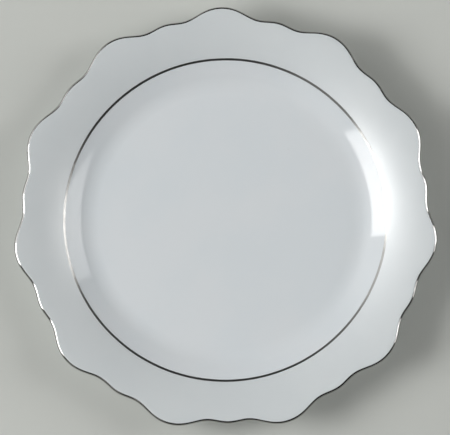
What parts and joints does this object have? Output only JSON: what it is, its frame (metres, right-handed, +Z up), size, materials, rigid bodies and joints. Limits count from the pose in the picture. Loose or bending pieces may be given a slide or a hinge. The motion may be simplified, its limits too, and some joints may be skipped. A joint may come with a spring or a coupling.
{
  "type": "bread and butter plate",
  "caption": "Shallow round porcelain plate with a scalloped satin rim, a glossy well, fine platinum lines at the verge and the edge, and a bare foot ring.",
  "frame": {"origin": "on the plate's axis, in the plane of the foot ring's bearing edge", "axes": "+Z up out of the well along the plate's axis; +Y through the middle of a main lobe of the scalloped edge; +X to the right, as in the picture"},
  "size_m": [0.1616, 0.1605, 0.0159],
  "materials": {
    "porcelain": "bare fired porcelain",
    "gloss_glaze": "clear gloss glaze, cool white",
    "satin_glaze": "satin glaze, slightly warmer white",
    "platinum": "burnished platinum line"
  },
  "bodies": {
    "root": {"porcelain_body": "porcelain", "well_glaze": "gloss_glaze", "rim_glaze": "satin_glaze", "back_glaze": "gloss_glaze", "base_glaze": "gloss_glaze", "verge_line": "platinum", "edge_line": "platinum"}
  },
  "joints": []
}
